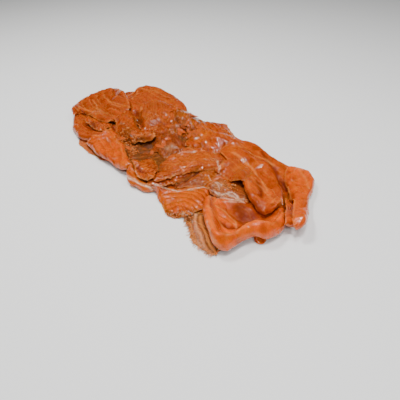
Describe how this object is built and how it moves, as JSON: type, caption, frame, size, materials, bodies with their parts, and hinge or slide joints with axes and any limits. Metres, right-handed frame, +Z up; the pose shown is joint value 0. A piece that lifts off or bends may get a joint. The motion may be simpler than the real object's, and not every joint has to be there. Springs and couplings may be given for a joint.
{
  "type": "sliced smoked trout fillet",
  "caption": "Thin slices of orange smoked trout lying folded and overlapping in one long flat bed, with rolled edges and a thick fold at one end.",
  "frame": {"origin": "under the middle of the bed, on the surface that it lies on", "axes": "+X along the bed towards the end with the thick rolled fold, +Y across it towards the far side as the picture looks, +Z up"},
  "size_m": [0.303, 0.1342, 0.0191],
  "materials": {
    "bed_left": "wet, smooth",
    "bed_far_left": "wet, smooth",
    "bed_middle": "wet, smooth",
    "bed_far_middle": "wet, smooth",
    "bed_right": "wet, smooth",
    "far_left_slice": "wet, smooth",
    "pocket_slice": "wet, smooth",
    "pocket_flap": "wet, smooth",
    "head_slice": "wet, smooth",
    "far_rough_slice": "wet, smooth",
    "mid_far_slice": "wet, smooth",
    "wrinkle_slice": "wet, smooth",
    "peak_slice": "wet, smooth",
    "twist_slice": "wet, smooth",
    "bright_flap": "wet, smooth",
    "near_rim": "wet, smooth",
    "valley_slice": "wet, smooth",
    "under_strip": "wet, smooth",
    "long_slice": "wet, smooth",
    "ragged_flap": "wet, smooth",
    "frayed_strip": "wet, smooth",
    "fan_slice": "wet, smooth",
    "small_tab": "wet, smooth",
    "far_right_slice": "wet, smooth",
    "front_roll": "wet, smooth",
    "membrane_slice": "wet, smooth",
    "right_fold": "wet, smooth",
    "right_end_slice": "wet, smooth",
    "tongue_slice": "wet, smooth",
    "pointed_flap": "wet, smooth"
  },
  "bodies": {
    "root": {"bed_left": "bed_left", "bed_far_left": "bed_far_left", "bed_middle": "bed_middle", "bed_far_middle": "bed_far_middle", "bed_right": "bed_right", "far_left_slice": "far_left_slice", "pocket_slice": "pocket_slice", "pocket_flap": "pocket_flap", "head_slice": "head_slice", "far_rough_slice": "far_rough_slice", "mid_far_slice": "mid_far_slice", "wrinkle_slice": "wrinkle_slice", "peak_slice": "peak_slice", "twist_slice": "twist_slice", "bright_flap": "bright_flap", "near_rim": "near_rim", "valley_slice": "valley_slice", "under_strip": "under_strip", "long_slice": "long_slice", "ragged_flap": "ragged_flap", "frayed_strip": "frayed_strip", "fan_slice": "fan_slice", "small_tab": "small_tab", "far_right_slice": "far_right_slice", "front_roll": "front_roll", "membrane_slice": "membrane_slice", "right_fold": "right_fold", "right_end_slice": "right_end_slice", "tongue_slice": "tongue_slice", "pointed_flap": "pointed_flap"}
  },
  "joints": []
}
